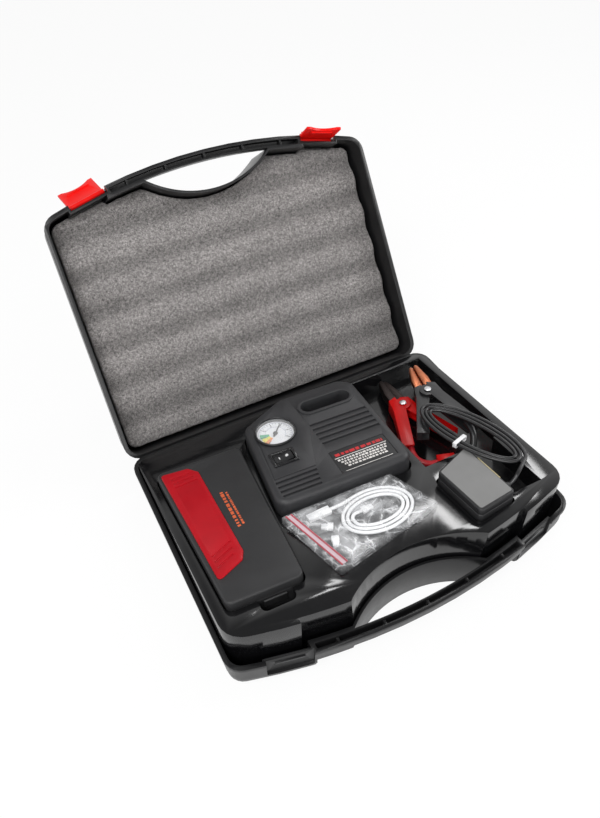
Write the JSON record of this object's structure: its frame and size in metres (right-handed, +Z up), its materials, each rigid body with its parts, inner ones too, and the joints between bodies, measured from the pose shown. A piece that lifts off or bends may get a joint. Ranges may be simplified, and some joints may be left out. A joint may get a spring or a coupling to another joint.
{
  "type": "jump starter pack",
  "caption": "Hard carrying case standing open, with a formed tray that holds a power bank, a tyre compressor with gauge, battery clamps, a mains adapter and leads.",
  "frame": {"origin": "middle of the flat underside of the base, half way across the case and half way between the hinge edge and the middle of the bowed front", "axes": "+Z up, out of the base; +Y from the handle towards the hinge; +X to the right, seen from the handle side"},
  "size_m": [0.33, 0.4527, 0.2435],
  "materials": {
    "case_black": "satin",
    "tray_black": "gloss",
    "latch_red": "gloss",
    "steel": "satin",
    "foam_grey": "matte",
    "housing_grey": "matte",
    "panel_red": "satin",
    "flap_rubber": "matte",
    "socket_blue": "satin",
    "lens_clear": "gloss",
    "cell_grey": "satin",
    "board_green": "satin",
    "dial_white": "matte",
    "part_black": "satin",
    "clamp_red": "satin",
    "clamp_black": "satin",
    "copper": "satin",
    "lead_red": "satin",
    "lead_black": "satin",
    "adapter_grey": "matte",
    "film_clear": "gloss",
    "strip_red": "satin",
    "cable_white": "satin"
  },
  "bodies": {
    "base": {"base_shell": "case_black", "hinge_pins": "steel", "insert_tray": "tray_black", "bank_base": "housing_grey", "bank_top": "housing_grey", "bank_panel": "panel_red", "bank_socket": "socket_blue", "bank_lamp_lens": "lens_clear", "bank_cells": "cell_grey", "bank_board": "board_green", "bank_screws": "steel", "comp_front_shell": "housing_grey", "comp_rear_shell": "housing_grey", "gauge_bezel": "part_black", "gauge_dial": "dial_white", "gauge_lens": "lens_clear", "rocker_frame": "part_black", "comp_motor": "steel", "comp_cylinder": "cell_grey", "comp_screws": "steel", "red_handle_fixed": "clamp_red", "red_jaw_fixed": "copper", "red_clamp_pin": "steel", "red_clamp_spring": "steel", "black_handle_fixed": "clamp_black", "black_jaw_fixed": "copper", "black_clamp_pin": "steel", "black_clamp_spring": "steel", "red_lead": "lead_red", "black_lead": "lead_black", "jump_plug": "clamp_red", "adapter_shell": "adapter_grey", "adapter_cover": "adapter_grey", "adapter_lead": "lead_black", "lead_relief": "flap_rubber", "lead_tie": "cable_white", "dc_plug": "part_black", "zip_bag": "film_clear", "zip_strip": "strip_red", "usb_cable": "cable_white", "usb_a_plug": "cable_white", "usb_tips": "cable_white"},
    "lid": {"lid_shell": "case_black", "latch_pins": "steel", "lid_foam": "foam_grey"},
    "left_latch": {"latch_left": "latch_red"},
    "right_latch": {"latch_right": "latch_red"},
    "red_lever": {"red_handle_moving": "clamp_red", "red_jaw_moving": "copper"},
    "black_lever": {"black_handle_moving": "clamp_black", "black_jaw_moving": "copper"},
    "needle": {"gauge_needle": "part_black"},
    "rocker": {"comp_rocker": "part_black"},
    "button": {"bank_button": "steel"},
    "flap": {"bank_port_flap": "flap_rubber"}
  },
  "joints": [
    {"name": "lid_hinge", "type": "hinge", "parent": "base", "child": "lid", "pos_m": [0, 0.1307, 0.0299], "axis": [-1, 0, 0], "range_deg": [-125.6, 0], "deforming": ["lid_foam"]},
    {"name": "left_latch_hinge", "type": "hinge", "parent": "lid", "child": "left_latch", "pos_m": [-0.1185, 0.28583, 0.21892], "axis": [-0.9744, -0.1309, -0.1829], "range_deg": [-140, 2]},
    {"name": "right_latch_hinge", "type": "hinge", "parent": "lid", "child": "right_latch", "pos_m": [0.1185, 0.28583, 0.21892], "axis": [-0.9744, 0.1309, 0.1829], "range_deg": [-8, 120]},
    {"name": "red_clamp_pivot", "type": "hinge", "parent": "base", "child": "red_lever", "pos_m": [0.1005, 0.06705, 0.03332], "axis": [0, -0.1184, -0.993], "range_deg": [0, 25], "stiffness_Nm_per_rad": 0.5, "springref_deg": -28.65},
    {"name": "black_clamp_pivot", "type": "hinge", "parent": "base", "child": "black_lever", "pos_m": [0.122, 0.05797, 0.05011], "axis": [0, 0.1184, 0.993], "range_deg": [0, 25], "stiffness_Nm_per_rad": 0.5, "springref_deg": -28.65},
    {"name": "gauge_needle_pivot", "type": "hinge", "parent": "base", "child": "needle", "pos_m": [-0.03697, 0.07537, 0.06093], "axis": [0, -0.1184, -0.993], "range_deg": [0, 250], "stiffness_Nm_per_rad": 0.0005, "springref_deg": -5.73},
    {"name": "rocker_pivot", "type": "hinge", "parent": "base", "child": "rocker", "pos_m": [-0.0452, 0.04082, 0.06303], "axis": [0.061, 0.9911, -0.1182], "range_deg": [0, 14]},
    {"name": "button_slide", "type": "slide", "parent": "base", "child": "button", "axis": [0.0624, 0.991, -0.1182], "range_m": [0, 0.0008], "stiffness_N_per_m": 300, "springref_m": -0.001},
    {"name": "port_flap_hinge", "type": "hinge", "parent": "base", "child": "flap", "pos_m": [-0.11109, -0.07555, 0.05928], "axis": [-0.9981, 0.0619, -0.0074], "range_deg": [0, 90]}
  ]
}
